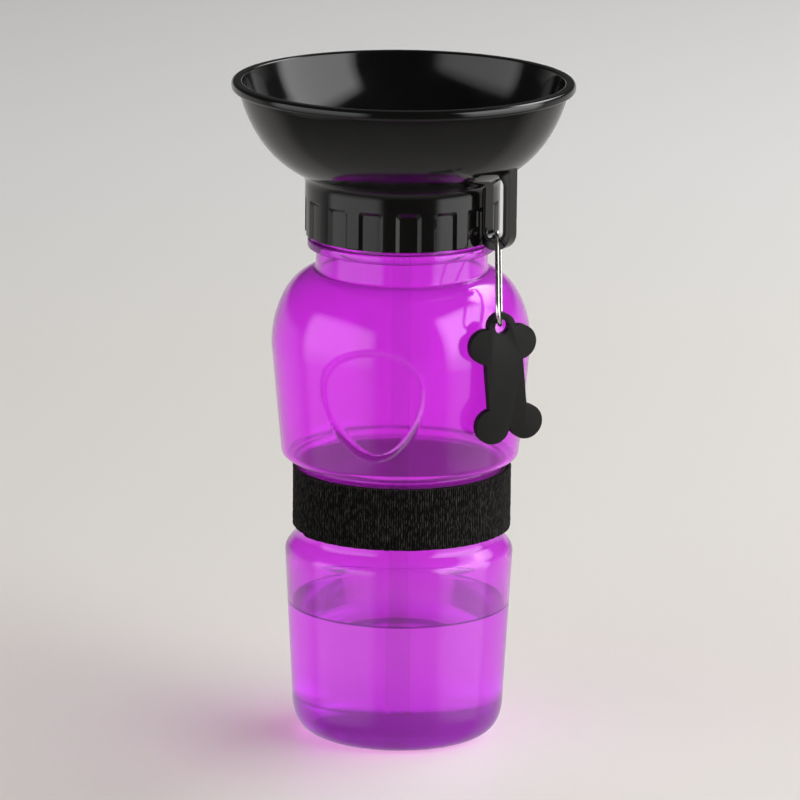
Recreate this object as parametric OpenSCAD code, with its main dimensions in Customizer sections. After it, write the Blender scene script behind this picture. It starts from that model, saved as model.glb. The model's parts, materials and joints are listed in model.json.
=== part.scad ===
// Squeeze travel bottle for a dog: a soft bottle with a drinking bowl screwed on its neck.
// Origin at the centre of the base ring, +Z up, the bowl's hanging lug on +X.

/* [Bottle] */
// Radius of the ring that the bottle stands on
foot_r = 28.5; // [26:0.5:31]
// Radius of the lower body just above the base fillet
base_r = 38.4; // [37:0.1:39]
// Height of the curve between the base and the side
base_curve = 12; // [7:0.5:16]
// Depth of the push-up under the base
pushup = 3.5; // [1.5:0.5:6]
// Radius at the top of the lower body
cup_r = 42.1; // [41:0.1:44]
// Height at which the lower body is widest
cup_z = 68; // [60:1:70]
// Radius of the waist that the strap sits in
waist_r = 38; // [36:0.5:39]
// Height of the step from the lower body's widest place to the waist
waist_step = 9; // [7:0.5:11]
// Height of the waist
waist_h = 25.5; // [25:0.5:28]
// Radius of the bulb at its lower edge
bulb_low_r = 44; // [43:0.5:46]
// Height of the step from the waist to the bulb's lower edge
bulb_step = 7.5; // [6:0.5:9]
// Largest radius of the bulb
bulb_r = 47.5; // [46.5:0.5:48]
// Height from the bulb's lower edge to its widest place
bulb_rise = 37; // [34:0.5:39]
// Height of the bulb's round shoulder above that
shoulder_h = 28; // [26:0.5:30]
// Distance from the axis of the top of the shoulder's curve
shoulder_r = 30; // [28:0.5:31]
// Radius of the neck
neck_r = 31.4; // [30:0.1:31.6]
// Height of the neck's mouth above the shoulder
neck_h = 28.4; // [26:0.1:30]
// Wall of the bottle
wall = 1.4; // [1:0.1:2]

/* [Neck bead] */
// Radius of the bead under the collar
bead_r = 34.6; // [34:0.1:35]
// Height of the neck's mouth above the bead's lower edge
bead_drop = 20.2; // [19.4:0.1:21]
// Thickness of the bead
bead_h = 3.2; // [2:0.1:3.6]

/* [Thumb dimple] */
// Height of the dimple's middle above the bulb's lower edge
dimple_rise = 23.4; // [22:0.1:26]
// Half width of the egg-shaped floor, before its taper
dimple_w = 18; // [14:0.2:19]
// Half height of the floor
dimple_h = 18.6; // [14:0.2:20]
// How much wider the egg is at the top than at the point
dimple_taper = 0.22; // [0:0.02:0.3]
// Lean of the egg, its point away from the lug's side
dimple_lean = -7; // [-10:1:10]
// Depth of the dimple
dimple_depth = 2; // [1:0.1:2.2]
// Width of the sloping border
dimple_border = 3; // [2:0.2:4]
// Direction of the dimple, from the lug
dimple_angle = -73; // [-90:1:-60]

/* [Bowl] */
// Radius of the bowl where it leaves the collar
bowl_foot_r = 38; // [37:0.1:39]
// Height of that place above the collar's lower edge
bowl_foot_rise = 23; // [22:0.1:24]
// Slope of the bowl there, from level
bowl_foot_slope = 27; // [20:1:35]
// Radius of the bowl under the brim
bowl_brim_r = 59.6; // [56:0.1:60]
// Slope of the bowl there, from level
bowl_brim_slope = 74; // [70:1:80]
// Outer radius of the rolled brim
brim_r = 62.6; // [62:0.1:66]
// Thickness of the rolled brim
brim_h = 3.4; // [3:0.1:4]
// Height of the brim's top above the collar's lower edge
bowl_h = 56.8; // [54:0.1:60]
// Wall of the bowl
bowl_wall = 2.2; // [1.6:0.1:2.8]
// Height of the bowl's inner floor above the collar's ceiling
floor_h = 3; // [2.4:0.1:3.4]

/* [Collar] */
// Outer radius of the collar
collar_r = 35.6; // [35.4:0.1:36.2]
// Gap between the bead and the collar's lower edge
collar_gap = 1.6; // [0.8:0.1:2]
// Clearance between the neck and the collar's thread wall
thread_room = 1.6; // [1.4:0.1:1.8]
// Number of finger grips round the collar
grips = 16; // [12:2:20]
// Width of a grip
grip_w = 8.6; // [6:0.2:9]
// Height of a grip
grip_h = 13; // [10:0.5:14]
// Depth of a grip
grip_depth = 0.9; // [0.4:0.1:1.2]
// Radius of a grip's upper corners
grip_corner = 1.8; // [1:0.1:3]

/* [Lug] */
// Thickness of the lug's plate
lug_t = 5.6; // [4.6:0.1:5.8]
// Distance of the slot's middle from the axis
lug_x = 39.9; // [39.7:0.1:40.4]
// Half width of the plate round the slot
lug_half = 6.3; // [6:0.1:6.6]
// How far the lug's lower end hangs below the collar
lug_drop = 1.5; // [1:0.1:2.2]
// Width of the slot
slot_w = 7.2; // [6.6:0.1:7.4]
// Length of the slot
slot_len = 23.4; // [20:0.1:24]
// Height of the bridge under the slot
bridge_h = 4; // [3.4:0.1:4.2]

/* [Neck gasket] */
// Thickness of the gasket on the neck's mouth
gasket_t = 1.6; // [1.2:0.1:2]
// Width of the gasket
gasket_w = 4; // [3:0.1:5]

/* [Fountain insert] */
// Radius of the insert's plug in the bowl's floor
plug_r = 11; // [9:0.5:13]
// Radius of the insert's cap
cap_r = 15; // [14:0.5:17]
// Height of the insert's cap above the bowl's floor
cap_h = 5.5; // [5:0.5:8]
// Number of water holes in the cap
outlets = 8; // [6:1:10]
// Diameter of a water hole
outlet_d = 2.6; // [2:0.1:3]
// Depth of the insert's stem below the bowl's floor
stem_h = 17; // [15:0.5:20]
// Diameter of the seal ring's section
seal_d = 1.9; // [1.6:0.1:2.2]

/* [Dip tube] */
// Outer diameter of the tube
tube_d = 8; // [7:0.5:9]
// Wall of the tube
tube_wall = 1; // [0.8:0.1:1.5]
// Gap between the tube's end and the bottle's floor
tube_gap = 4; // [2:0.5:8]

/* [Strap] */
// Width of the strap
strap_w = 22.6; // [18:0.1:23]
// Thickness of one layer of the strap
strap_t = 1.1; // [0.8:0.1:1.2]
// Height of the strap's lower edge above the waist's lower end
strap_rise = 1.8; // [1.5:0.1:2]
// Direction of the strap's free end, from the lug
strap_end_angle = -123; // [-130:1:-115]
// Angle that the outer layer covers
strap_lap = 153; // [120:1:165]
// Radius of the corners of the strap's free end
strap_corner = 6; // [2:0.5:9]
// Angle that the hook patch covers under the free end
hook_lap = 58; // [30:1:80]
// Thickness of the hook patch
hook_t = 0.6; // [0.5:0.1:0.8]

/* [Wire link] */
// Diameter of the wire
wire_d = 1.6; // [1.4:0.1:1.8]
// Width of the link between the middles of the wire
link_w = 10.2; // [10:0.1:10.6]
// Play between the wire's bend and the tag's hole
hang_play = 1.1; // [1:0.05:1.3]

/* [Bone tag] */
// Thickness of the tag
tag_t = 3.4; // [2.6:0.1:3.6]
// Radius of the tag's four knuckles
knuckle_r = 6.4; // [6:0.1:7]
// Distance between the knuckles across the tag
knuckle_gap = 12.8; // [11.5:0.1:14]
// Distance between the upper and the lower knuckles
bone_len = 29.8; // [27:0.5:32]
// Width of the tag's waist
bone_waist = 14.4; // [13:0.2:16]
// Radius of the ear round the hole
ear_r = 5.2; // [4.8:0.1:5.8]
// Diameter of the hole
tag_hole_d = 5.4; // [5.2:0.1:5.8]
// Lean of the tag in its own plane
tag_lean = 5.4; // [0:0.1:6]
// Direction that the tag faces, from the lug
tag_face = -38; // [-42:1:-34]
// Distance of the tag's hole from the line where the tag lies against the bulb
tag_side = 18.4; // [17:0.1:20]
// Height of the tag's wire above the bulb's widest place
tag_rise = 16.2; // [15:0.1:18]
// Gap between the tag and the bulb
tag_gap = 0.35; // [0.3:0.05:0.6]

/* [Hidden] */
$fn = 96;
// Small overlap of a cutter past the face it cuts
cut = 1;
// Running gap between pieces that turn or slide on each other
run_gap = 0.3;
// Steps in one rounded corner of a profile
corner_steps = 7;

// Heights of the bottle, each from the one below it
waist_z = cup_z + waist_step;
waist_top_z = waist_z + waist_h;
bulb_low_z = waist_top_z + bulb_step;
bulb_z = bulb_low_z + bulb_rise;
neck_top_z = bulb_z + shoulder_h + neck_h;
bead_z = neck_top_z - bead_drop;
dimple_z = bulb_low_z + dimple_rise;

// Bottle
waist_fillet = 3.5;
cup_fillet = 5;
bulb_fillet = 6;
shoulder_steps = 14;
base_steps = 10;
neck_fillet = 2.5;
ring_step = 0.8;
ring_step_h = 2;
bead_root = neck_r - 0.4;
bulb_under_z = bulb_low_z - 4.8;

// Dimple, as rings of points from the middle of the floor to outside the surface
// Each ring is [share of the egg's size, share of the border's width, share of the depth]
dimple_sides = 36;
dimple_out = 4;
dimple_rings = [[0.35, 0, 1], [0.7, 0, 1], [1, 0, 1], [1, 0.2, 0.92], [1, 0.5, 0.6], [1, 1.4, -0.5],
    [1, 1.8, -dimple_out / dimple_depth]];

// Collar and bowl
collar_z = bead_z + bead_h + collar_gap;
rim_z = collar_z + bowl_h;
ceiling_z = neck_top_z + gasket_t;
collar_bore_r = neck_r + thread_room;
floor_z = ceiling_z + floor_h;
bowl_foot_z = collar_z + bowl_foot_rise;
brim_low_z = rim_z - brim_h;
brim_in_r = bowl_brim_r - bowl_wall + 0.4;
bowl_steps = 14;
grip_pitch = 360 / grips;

// Lug
lug_z = collar_z - lug_drop;
lug_top_z = rim_z - 12;
slot_r = slot_w / 2;
slot_z = lug_z + bridge_h;
slot_top_z = slot_z + slot_len;

// Insert and tube
stem_r = plug_r - 3;
socket_h = 9;
tube_r = tube_d / 2;
stem_bore_r = tube_r + 0.05;
chamber_r = tube_r - tube_wall;
seal_r = seal_d / 2;
seal_z = floor_z - floor_h / 2;
groove_r = plug_r - seal_d + 0.2;
tube_top_z = floor_z - stem_h + socket_h;
tube_bottom_z = pushup + wall + tube_gap;

// Strap, wound on the waist from the inside out
strap_z = waist_z + strap_rise;
strap_r = waist_r + run_gap;
lap_r = strap_r + strap_t + hook_t;
strap_angle = strap_end_angle + strap_lap;

// Link, as its highest point in the slot, its lowest point in the tag's hole, and the level line in its plane
wire_r = wire_d / 2;
link_half = link_w / 2;
link_pin = [lug_x - 0.2, 0, slot_z + 2.7];
link_turn = 115;
tag_out = [cos(tag_face), sin(tag_face), 0];
tag_across = [-sin(tag_face), cos(tag_face), 0];
tag_plane = bulb_r + tag_gap + tag_t / 2;
tag_pin = tag_plane * tag_out + tag_side * tag_across + [0, 0, bulb_z + tag_rise];
link_level = [cos(link_turn), sin(link_turn), 0];
link_face = unit(cross(tag_pin - link_pin, link_level));
link_fall = cross(link_level, link_face);
link_run = tag_pin - link_pin - 2 * link_half * link_fall;
link_down = unit(link_run);
link_side = cross(link_down, link_face);

// Tag, hanging from the wire, with room for the wire's bend in its hole
tag_hang = tag_hole_d / 2 - wire_r - hang_play;
ear_drop = 12.6;

function unit(v) = v / norm(v);

// Points of a curve that starts at p0 and ends at p2, heading for p1 at both ends
function bend(p0, p1, p2, n) =
    [for (i = [0:n]) let (t = i / n) (1 - t) * (1 - t) * p0 + 2 * t * (1 - t) * p1 + t * t * p2];

// Where the line from a at slope u meets the line from b at slope v
function meet(a, u, b, v) =
    let (k = ((b.x - a.x) * sin(v) - (b.y - a.y) * cos(v)) / sin(v - u))
    [a.x + k * cos(u), a.y + k * sin(u)];

// Points of a quarter of an oval, from its side up to angle a1
function shoulder(cx, cz, a, b, a1, n) =
    [for (i = [0:n]) [cx + a * cos(a1 * i / n), cz + b * sin(a1 * i / n)]];

// Corner at p between a and b, rounded with radius r as far as the sides allow
function corner(a, p, b, r) =
    let (
        u = unit(a - p),
        v = unit(b - p),
        half = acos(max(-1, min(1, u * v))) / 2,
        reach = min(r / tan(half), 0.49 * norm(a - p), 0.49 * norm(b - p))
    )
    bend(p + reach * u, p, p + reach * v, corner_steps);

// Outline of [x, y, radius] points with every inner corner rounded
function rounded(pts) = [
    for (i = [0:len(pts) - 1])
        let (p = [pts[i].x, pts[i].y], r = pts[i].z)
        if (r == 0 || i == 0 || i == len(pts) - 1) p
        else each corner([pts[i - 1].x, pts[i - 1].y], p, [pts[i + 1].x, pts[i + 1].y], r)
];

// Side of the bottle from the foot to the mouth, moved inwards by d
function bottle_side(d) =
    let (
        base = [base_r - d, d],
        cup = [cup_r - d, cup_z + 2.5],
        side_start = base + (base_curve - d * 0.6) * unit(cup - base),
        low = rounded([
            [side_start.x, side_start.y, 0],
            [cup.x, cup.y, cup_fillet - d * 0.6],
            [waist_r - d, waist_z - 1.5, waist_fillet],
            [waist_r - d, waist_top_z, 0.6],
            [waist_r + ring_step - d, waist_top_z + 0.6, 0.5],
            [waist_r + ring_step - d, waist_top_z + ring_step_h, 0.8],
            [bulb_low_r - 0.5 - d, bulb_under_z + d * 0.3, bulb_fillet - d],
            [bulb_r - d, bulb_z, 0]
        ]),
        top = shoulder(shoulder_r, bulb_z, bulb_r - d - shoulder_r, shoulder_h - d, 84, shoulder_steps),
        last = top[shoulder_steps],
        neck = neck_r - d
    )
    concat(bend([foot_r - d * 0.4, d], base, side_start, base_steps),
        [for (i = [1:len(low) - 1]) low[i]], [for (i = [1:shoulder_steps]) top[i]],
        corner(last, [neck, last.y + 0.35], [neck, last.y + 9], neck_fillet),
        [[neck, neck_top_z + (d > 0 ? cut : 0)]]);

// Push-up under the bottle, from the axis to the foot ring
function bottle_floor(d) = concat(
    [[0, pushup + d]],
    bend([foot_r * 0.55, pushup + d], [foot_r * 0.8, pushup + d], [foot_r - 3.6 - d * 0.3, d + 0.25], 6),
    [[foot_r - 2.6 - d * 0.2, d]]
);

module bottle_outer() {
    rotate_extrude($fn = 128)
        polygon(concat(bottle_floor(0), bottle_side(0), [[0, neck_top_z]]));
    // Bead that carries the collar's skirt
    translate([0, 0, bead_z])
        rotate_extrude($fn = 128)
            polygon(concat([[bead_root, 0]],
                corner([bead_root, 0], [bead_r, 0.4], [bead_r, bead_h], 0.9),
                corner([bead_r, 0], [bead_r, bead_h], [bead_root, bead_h], 0.9),
                [[bead_root, bead_h + 0.4]]));
}

module bottle_inner() {
    rotate_extrude($fn = 128)
        polygon(concat(bottle_floor(wall), bottle_side(wall), [[0, neck_top_z + cut]]));
}

// Radius of the bottle's side at height z, moved inwards by d
function side_r(z, d) = lookup(z, [for (p = bottle_side(d)) [p.y, p.x]]);

// Egg with its point down: the point of its outline in direction a, drawn in by k and grown by g
function egg(a, k, g) =
    let (
        x = (dimple_w + g) * k * sin(a) * (1 + dimple_taper * cos(a)),
        y = (dimple_h + g) * k * cos(a)
    )
    [x * cos(dimple_lean) + y * sin(dimple_lean), y * cos(dimple_lean) - x * sin(dimple_lean)];

// Point of the dimple's cutter on a side moved inwards by d, depth below that side
function dimple_point(p, d, depth) =
    let (z = dimple_z + p.y, r = side_r(z, d) - depth, turn = p.x / bulb_r * 180 / PI)
    [r * cos(turn), r * sin(turn), z];

// Solid that takes one dimple out of a wall, facing +X
module dimple_block(d) {
    rings = len(dimple_rings);
    sides = dimple_sides;
    points = concat(
        [dimple_point([0, 0], d, dimple_depth)],
        [for (ring = dimple_rings, i = [0:sides - 1])
            let (p = egg(i * 360 / sides, ring[0], ring[1] * dimple_border - d * 0.4))
            dimple_point(p, d, ring[2] * dimple_depth)],
        [dimple_point([0, 0], d, -dimple_out - 2)]
    );
    last = 1 + rings * sides;
    function at(k, i) = 1 + k * sides + i % sides;
    faces = concat(
        [for (i = [0:sides - 1]) [0, at(0, i + 1), at(0, i)]],
        [for (k = [0:rings - 2], i = [0:sides - 1]) [at(k, i), at(k, i + 1), at(k + 1, i + 1)]],
        [for (k = [0:rings - 2], i = [0:sides - 1]) [at(k, i), at(k + 1, i + 1), at(k + 1, i)]],
        [for (i = [0:sides - 1]) [last, at(rings - 1, i), at(rings - 1, i + 1)]]
    );
    polyhedron(points, faces);
}

module dimple(d) {
    rotate(dimple_angle)
        dimple_block(d);
}

module bottle() {
    color([0.68, 0.16, 0.82, 0.6])
        difference() {
            bottle_outer();
            dimple(0);
            difference() {
                bottle_inner();
                dimple(wall);
            }
        }
}

module neck_gasket() {
    outer = neck_r - 0.1;
    color([0.85, 0.85, 0.83])
        translate([0, 0, neck_top_z])
            difference() {
                cylinder(r = outer, h = gasket_t);
                translate([0, 0, -cut])
                    cylinder(r = outer - gasket_w, h = gasket_t + 2 * cut);
            }
}

// Outer curve of the bowl from the collar to the brim, moved inwards by d
function bowl_curve(d) =
    let (
        foot = [bowl_foot_r - d * sin(bowl_foot_slope), bowl_foot_z + d * cos(bowl_foot_slope)],
        brim = [bowl_brim_r - d * sin(bowl_brim_slope), brim_low_z - 1.6 + d * cos(bowl_brim_slope)]
    )
    bend(foot, meet(foot, bowl_foot_slope, brim, bowl_brim_slope), brim, bowl_steps);

module bowl_outer() {
    foot = [bowl_foot_r, bowl_foot_z];
    collar_top = [collar_r, bowl_foot_z - 4.2];
    turn_in = meet(foot, bowl_foot_slope, collar_top, 90);
    rotate_extrude($fn = 160)
        polygon(concat(
            [[0, collar_z], [collar_r - 0.5, collar_z], [collar_r, collar_z + 0.5]],
            bend(collar_top, turn_in, foot, 5),
            bowl_curve(0),
            corner([bowl_brim_r, brim_low_z - 1.6], [bowl_brim_r + 0.3, brim_low_z], [brim_r, brim_low_z], 0.8),
            corner([bowl_brim_r, brim_low_z], [brim_r, brim_low_z], [brim_r, rim_z], 1.6),
            corner([brim_r, brim_low_z], [brim_r, rim_z], [brim_in_r, rim_z], 1.6),
            corner([brim_r, rim_z], [brim_in_r, rim_z], [brim_in_r - 0.3, brim_low_z], 1.2),
            [[0, brim_low_z]]
        ));
}

module bowl_inner() {
    curve = bowl_curve(bowl_wall);
    foot = curve[0];
    floor_edge = [foot.x - 8, floor_z];
    rotate_extrude($fn = 160)
        polygon(concat(
            [[0, floor_z]],
            bend(floor_edge, meet(foot, bowl_foot_slope, floor_edge, 0), foot, 5),
            curve,
            [[brim_in_r - 0.35, brim_low_z], [brim_in_r, rim_z - 1.2], [brim_in_r, rim_z + cut], [0, rim_z + cut]]
        ));
}

// Recess for one finger, open at the collar's lower edge, on +X
module grip_cut() {
    half = grip_w / 2;
    rotate([90, 0, 90])
        linear_extrude(height = collar_r + cut)
            polygon(concat([[-half, -cut], [half, -cut]],
                corner([half, 0], [half, grip_h], [0, grip_h], grip_corner),
                corner([0, grip_h], [-half, grip_h], [-half, 0], grip_corner)));
}

module grip_cuts() {
    difference() {
        for (i = [0:grips - 1])
            rotate((i + 0.5) * grip_pitch)
                translate([0, 0, collar_z])
                    grip_cut();
        translate([0, 0, collar_z - 2 * cut])
            cylinder(r = collar_r - grip_depth, h = grip_h + 4 * cut);
    }
}

// Plate of the lug in its own plane: x from the axis, y up
module lug_outline() {
    translate([lug_x, lug_z + lug_half])
        circle(r = lug_half);
    translate([lug_x - lug_half, lug_z + lug_half])
        square([2 * lug_half, lug_top_z - lug_z - lug_half]);
}

module lug_plate() {
    rotate([90, 0, 0])
        linear_extrude(height = lug_t, center = true)
            lug_outline();
}

module lug_slot() {
    rotate([90, 0, 0])
        linear_extrude(height = lug_t + 2 * cut, center = true) {
            translate([lug_x, slot_z + slot_r])
                circle(r = slot_r);
            translate([lug_x, slot_top_z - slot_r])
                circle(r = slot_r);
            translate([lug_x - slot_r, slot_z + slot_r])
                square([slot_w, slot_len - slot_w]);
        }
}

module bowl() {
    color([0.05, 0.05, 0.05])
        difference() {
            union() {
                bowl_outer();
                lug_plate();
            }
            bowl_inner();
            // Room for the neck inside the collar
            translate([0, 0, lug_z - cut])
                cylinder(r = collar_bore_r, h = ceiling_z - lug_z + cut, $fn = 128);
            // Seat of the fountain insert in the bowl's floor
            translate([0, 0, ceiling_z - cut])
                cylinder(r = plug_r + 0.05, h = floor_h + 2 * cut);
            lug_slot();
            grip_cuts();
        }
}

module fountain_insert() {
    stem_z = floor_z - stem_h;
    color([0.09, 0.09, 0.09])
        difference() {
            rotate_extrude()
                polygon(concat(
                    [[0, stem_z], [stem_r, stem_z], [stem_r, ceiling_z - 1], [plug_r, ceiling_z],
                        [plug_r, seal_z - seal_r], [groove_r, seal_z - seal_r],
                        [groove_r, seal_z + seal_r], [plug_r, seal_z + seal_r],
                        [plug_r, floor_z], [cap_r, floor_z], [cap_r, floor_z + 1.2]],
                    bend([cap_r - 0.8, floor_z + 2], [cap_r * 0.6, floor_z + cap_h], [0, floor_z + cap_h], 8)
                ));
            // Socket that holds the dip tube
            translate([0, 0, stem_z - cut])
                cylinder(r = stem_bore_r, h = socket_h + cut);
            // Way up from the tube to the chamber under the cap
            translate([0, 0, stem_z])
                cylinder(r = chamber_r, h = stem_h + 2.4);
            outlet_holes();
        }
}

// Outlets that lean outwards, so water spreads over the bowl's floor
module outlet_holes() {
    lean = 62;
    for (i = [0:outlets - 1])
        rotate(i * 360 / outlets)
            translate([0, 0, floor_z + 0.6])
                rotate([0, lean, 0])
                    cylinder(d = outlet_d, h = cap_r * 1.4, $fn = 32);
}

module insert_seal() {
    outer = plug_r + 0.05;
    section_r = (outer - groove_r) / 2 - 0.02;
    color([0.8, 0.8, 0.78])
        translate([0, 0, seal_z])
            rotate_extrude()
                translate([(outer + groove_r) / 2, 0])
                    circle(r = section_r, $fn = 24);
}

module dip_tube() {
    color([0.88, 0.9, 0.92, 0.6])
        translate([0, 0, tube_bottom_z])
            difference() {
                cylinder(r = tube_r, h = tube_top_z - tube_bottom_z);
                translate([0, 0, -cut])
                    cylinder(r = tube_r - tube_wall, h = tube_top_z - tube_bottom_z + 2 * cut);
                // Slanted foot, so the floor can't close the tube
                translate([0, 0, -tube_r])
                    rotate([0, 45, 0])
                        cube([2 * tube_d, 2 * tube_d, tube_r * 1.3], center = true);
            }
}

// Part of a ring between two angles
module ring_arc(r, t, h, from, sweep) {
    rotate(from)
        rotate_extrude(angle = sweep, $fn = 160)
            translate([r, 0])
                square([t, h]);
}

// What the round corners take off the free end of the strap, which starts at angle 0
module end_corners(r, t) {
    away = strap_corner;
    for (side = [0, 1])
        translate([0, 0, side * strap_w])
            mirror([0, 0, side])
                rotate([90, 0, 90])
                    translate([0, 0, r - cut])
                        linear_extrude(height = t + 2 * cut)
                            polygon(concat([[-cut, -cut], [-cut, away]],
                                bend([0, away], [0, 0], [away, 0], corner_steps), [[away, -cut]]));
}

module strap_band() {
    bridge = 8;
    fold_inset = 0.4;
    fold_back = 0.5;
    color([0.06, 0.06, 0.06])
        translate([0, 0, strap_z]) {
            difference() {
                cylinder(r = strap_r + strap_t, h = strap_w, $fn = 160);
                translate([0, 0, -cut])
                    cylinder(r = strap_r, h = strap_w + 2 * cut, $fn = 160);
            }
            // Fold where the outer layer leaves the inner one
            translate([0, 0, fold_inset])
                ring_arc(strap_r + strap_t / 2, strap_t + hook_t, strap_w - 2 * fold_inset,
                    strap_angle - bridge, bridge - fold_back);
            difference() {
                ring_arc(lap_r, strap_t, strap_w, strap_end_angle, strap_lap);
                rotate(strap_end_angle)
                    end_corners(lap_r, strap_t);
            }
        }
}

module hook_patch() {
    inset = 1.6;
    color([0.1, 0.1, 0.1])
        translate([0, 0, strap_z + inset])
            ring_arc(strap_r + strap_t, hook_t, strap_w - 2 * inset, strap_end_angle + 5, hook_lap);
}

module wire_link() {
    straight = norm(link_run);
    // Frame of the link: x across, y up to the slot, z out of its plane, its origin in the upper bend
    middle = link_pin + link_half * link_fall;
    turn = [
        [link_side.x, -link_down.x, -link_face.x, middle.x],
        [link_side.y, -link_down.y, -link_face.y, middle.y],
        [link_side.z, -link_down.z, -link_face.z, middle.z],
        [0, 0, 0, 1]
    ];
    color([0.82, 0.8, 0.74])
        multmatrix(turn) {
            link_bend();
            translate([0, -straight, 0])
                mirror([0, 1, 0])
                    link_bend();
            for (side = [-1, 1])
                translate([side * link_half, -straight, 0])
                    rotate([-90, 0, 0])
                        cylinder(r = wire_r, h = straight, $fn = 32);
        }
}

module link_bend() {
    rotate_extrude(angle = 180)
        translate([link_half, 0])
            circle(r = wire_r, $fn = 32);
}

// Outline of the bone: x across, y up, the hole's middle at the origin
module bone_outline() {
    for (side = [-1, 1]) {
        for (y = [-ear_drop + 6, -ear_drop + 6 - bone_len])
            translate([side * knuckle_gap / 2, y])
                circle(r = knuckle_r, $fn = 64);
    }
    translate([-bone_waist / 2, -ear_drop + 6 - bone_len])
        square([bone_waist, bone_len]);
    translate([-knuckle_gap / 2, -ear_drop])
        square([knuckle_gap, knuckle_r + 4]);
    circle(r = ear_r, $fn = 64);
    translate([-ear_r, -ear_drop + 6])
        square([2 * ear_r, ear_drop - 6]);
}

module bone_tag() {
    color([0.2, 0.18, 0.17])
        translate(tag_pin)
            rotate(tag_face + 90)
                rotate([90, 0, 0])
                    rotate(tag_lean)
                        translate([0, -tag_hang, -tag_t / 2])
                            difference() {
                                linear_extrude(height = tag_t)
                                    bone_outline();
                                translate([0, 0, -cut])
                                    cylinder(d = tag_hole_d, h = tag_t + 2 * cut, $fn = 48);
                            }
}

bottle();
neck_gasket();
bowl();
fountain_insert();
insert_seal();
dip_tube();
strap_band();
hook_patch();
wire_link();
bone_tag();
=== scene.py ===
"""Looks of a squeeze travel bottle for a dog, built round its construction model."""

import json
import math
from functools import partial

import bmesh
import bpy
from mathutils import Matrix, Vector

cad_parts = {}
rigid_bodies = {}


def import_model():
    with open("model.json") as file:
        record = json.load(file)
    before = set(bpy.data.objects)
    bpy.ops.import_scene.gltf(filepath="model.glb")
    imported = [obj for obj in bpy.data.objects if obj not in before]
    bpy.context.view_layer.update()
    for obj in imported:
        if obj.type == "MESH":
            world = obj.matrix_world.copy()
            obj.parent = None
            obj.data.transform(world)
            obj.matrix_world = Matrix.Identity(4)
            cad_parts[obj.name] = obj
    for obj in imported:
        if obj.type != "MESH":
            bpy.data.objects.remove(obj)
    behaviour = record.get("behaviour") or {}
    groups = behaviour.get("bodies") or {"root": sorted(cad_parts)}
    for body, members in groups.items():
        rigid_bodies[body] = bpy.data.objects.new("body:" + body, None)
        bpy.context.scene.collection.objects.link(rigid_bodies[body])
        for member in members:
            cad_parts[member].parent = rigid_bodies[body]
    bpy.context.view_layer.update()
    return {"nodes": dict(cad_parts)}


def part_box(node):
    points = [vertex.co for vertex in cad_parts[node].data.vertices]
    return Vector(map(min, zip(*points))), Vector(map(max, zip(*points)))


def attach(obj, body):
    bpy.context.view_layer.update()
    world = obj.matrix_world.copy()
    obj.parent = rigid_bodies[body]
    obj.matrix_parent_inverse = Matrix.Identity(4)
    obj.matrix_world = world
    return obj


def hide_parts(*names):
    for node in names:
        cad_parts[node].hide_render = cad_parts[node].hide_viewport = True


bl_info = {
    "name": "Dog travel bottle",
    "version": (1, 0, 0),
    "blender": (4, 5, 0),
    "location": "View3D > Sidebar > Dog bottle",
    "description": "Builds the squeeze bottle, its drinking bowl, strap and tag, and a studio",
    "category": "Object",
}

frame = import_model()
MM = 0.001
TAU = 2 * math.pi
# Points that are nearer than this become one
SAME_PLACE = 0.002 * MM
# How deep the root of a thread lies in its wall
THREAD_ROOT = 0.3 * MM
BODY_BOX = {name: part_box(name) for name in frame["nodes"]}
RIM_Z = BODY_BOX["bowl"][1].z
MOUTH_Z = BODY_BOX["bottle"][1].z
COLLAR_CEILING_Z = BODY_BOX["neck_gasket"][1].z
STRAP_Z = BODY_BOX["strap_band"][0].z
STRAP_WIDTH = BODY_BOX["strap_band"][1].z - STRAP_Z


# Properties


def named(group):
    """Names every property of the group after its identifier"""
    for key, make in group.__annotations__.items():
        group.__annotations__[key] = make(name=key.replace("_", " ").capitalize())
    return group


def length(text, millimetres):
    """A size, as a property in metres"""
    settings = {"min": 0.0, "precision": 5, "unit": "LENGTH"}
    return partial(
        bpy.props.FloatProperty, description=text, default=millimetres * MM, **settings
    )


def direction(text, degrees):
    """An angle, as a property"""
    value = math.radians(degrees)
    return partial(bpy.props.FloatProperty, description=text, default=value, subtype="ANGLE")


def number(text, value, low, high):
    """A plain number, as a property"""
    return partial(bpy.props.FloatProperty, description=text, default=value, min=low, max=high)


def tint(text, value):
    """A linear colour, as a property"""
    settings = {"min": 0.0, "max": 1.0, "subtype": "COLOR"}
    return partial(bpy.props.FloatVectorProperty, description=text, default=value, **settings)


@named
class BottleSizes(bpy.types.PropertyGroup):
    """Sizes of the squeeze bottle"""

    foot_radius: length("Radius of the ring it stands on", 28.5)
    base_radius: length("Radius above the base curve", 38.4)
    base_curve: length("Height of the curve between base and side", 12)
    push_up: length("Depth of the hollow under the base", 3.5)
    cup_radius: length("Radius at the top of the lower body", 42.1)
    cup_height: length("Where the lower body is widest", 68)
    waist_radius: length("Radius under the strap", 38)
    waist_low: length("Lower end of the waist", 77)
    waist_high: length("Upper end of the waist", 102.5)
    bulb_low_radius: length("Radius of the bulb's lower edge", 44)
    bulb_low: length("Height of the bulb's lower edge", 110)
    bulb_radius: length("Largest radius of the bulb", 47.5)
    bulb_height: length("Where the bulb is widest", 147)
    shoulder_rise: length("Height of the round shoulder", 28)
    shoulder_radius: length("Radius where the shoulder ends", 30)
    neck_radius: length("Radius of the neck", 31.4)
    wall: length("Wall of the bottle", 1.4)
    bead_radius: length("Radius of the bead under the collar", 34.6)
    bead_low: length("Height of the bead's lower edge", 183.2)
    bead_thickness: length("Thickness of the bead", 3.2)
    water_level: length("Height of the water", 49)


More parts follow.
